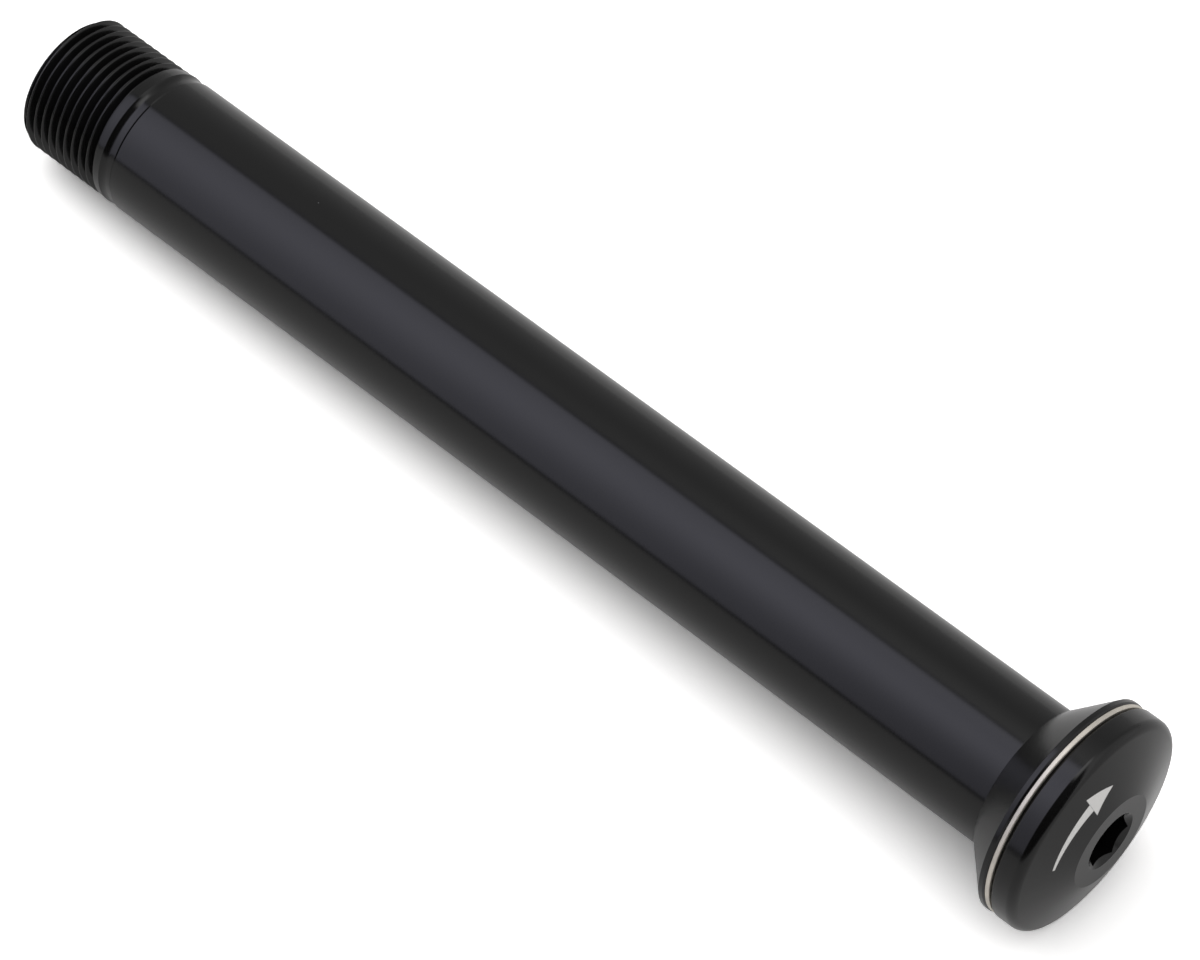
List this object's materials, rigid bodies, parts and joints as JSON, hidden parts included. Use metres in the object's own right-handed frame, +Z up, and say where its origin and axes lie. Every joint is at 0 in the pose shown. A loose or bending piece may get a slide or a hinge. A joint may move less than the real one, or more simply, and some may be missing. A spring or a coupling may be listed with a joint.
{
  "type": "bicycle thru axle",
  "caption": "Hollow black bicycle thru axle with a fine thread at one end and, at the other, a low crowned head with a hex socket over a bright slip washer and a tapered washer.",
  "frame": {"origin": "on the axle's axis, in the plane where the tapered washer reaches its full diameter", "axes": "+X along the axle from the threaded end to the head; +Z up, with the axle lying level"},
  "size_m": [0.1344, 0.0232, 0.0232],
  "materials": {
    "axle_black": "black anodised aluminium, satin",
    "washer_black": "black anodised aluminium, fine satin",
    "washer_steel": "bare stainless steel"
  },
  "bodies": {
    "axle": {"axle": "axle_black"},
    "tapered_washer": {"tapered_washer": "washer_black"},
    "slip_washer": {"slip_washer": "washer_steel"}
  },
  "joints": [
    {"name": "tapered_washer_turn", "type": "hinge", "parent": "axle", "child": "tapered_washer", "pos_m": [0, 0, 0], "axis": [1, 0, 0], "continuous": true},
    {"name": "slip_washer_turn", "type": "hinge", "parent": "axle", "child": "slip_washer", "pos_m": [0.00089, 0, 0], "axis": [1, 0, 0], "continuous": true}
  ]
}
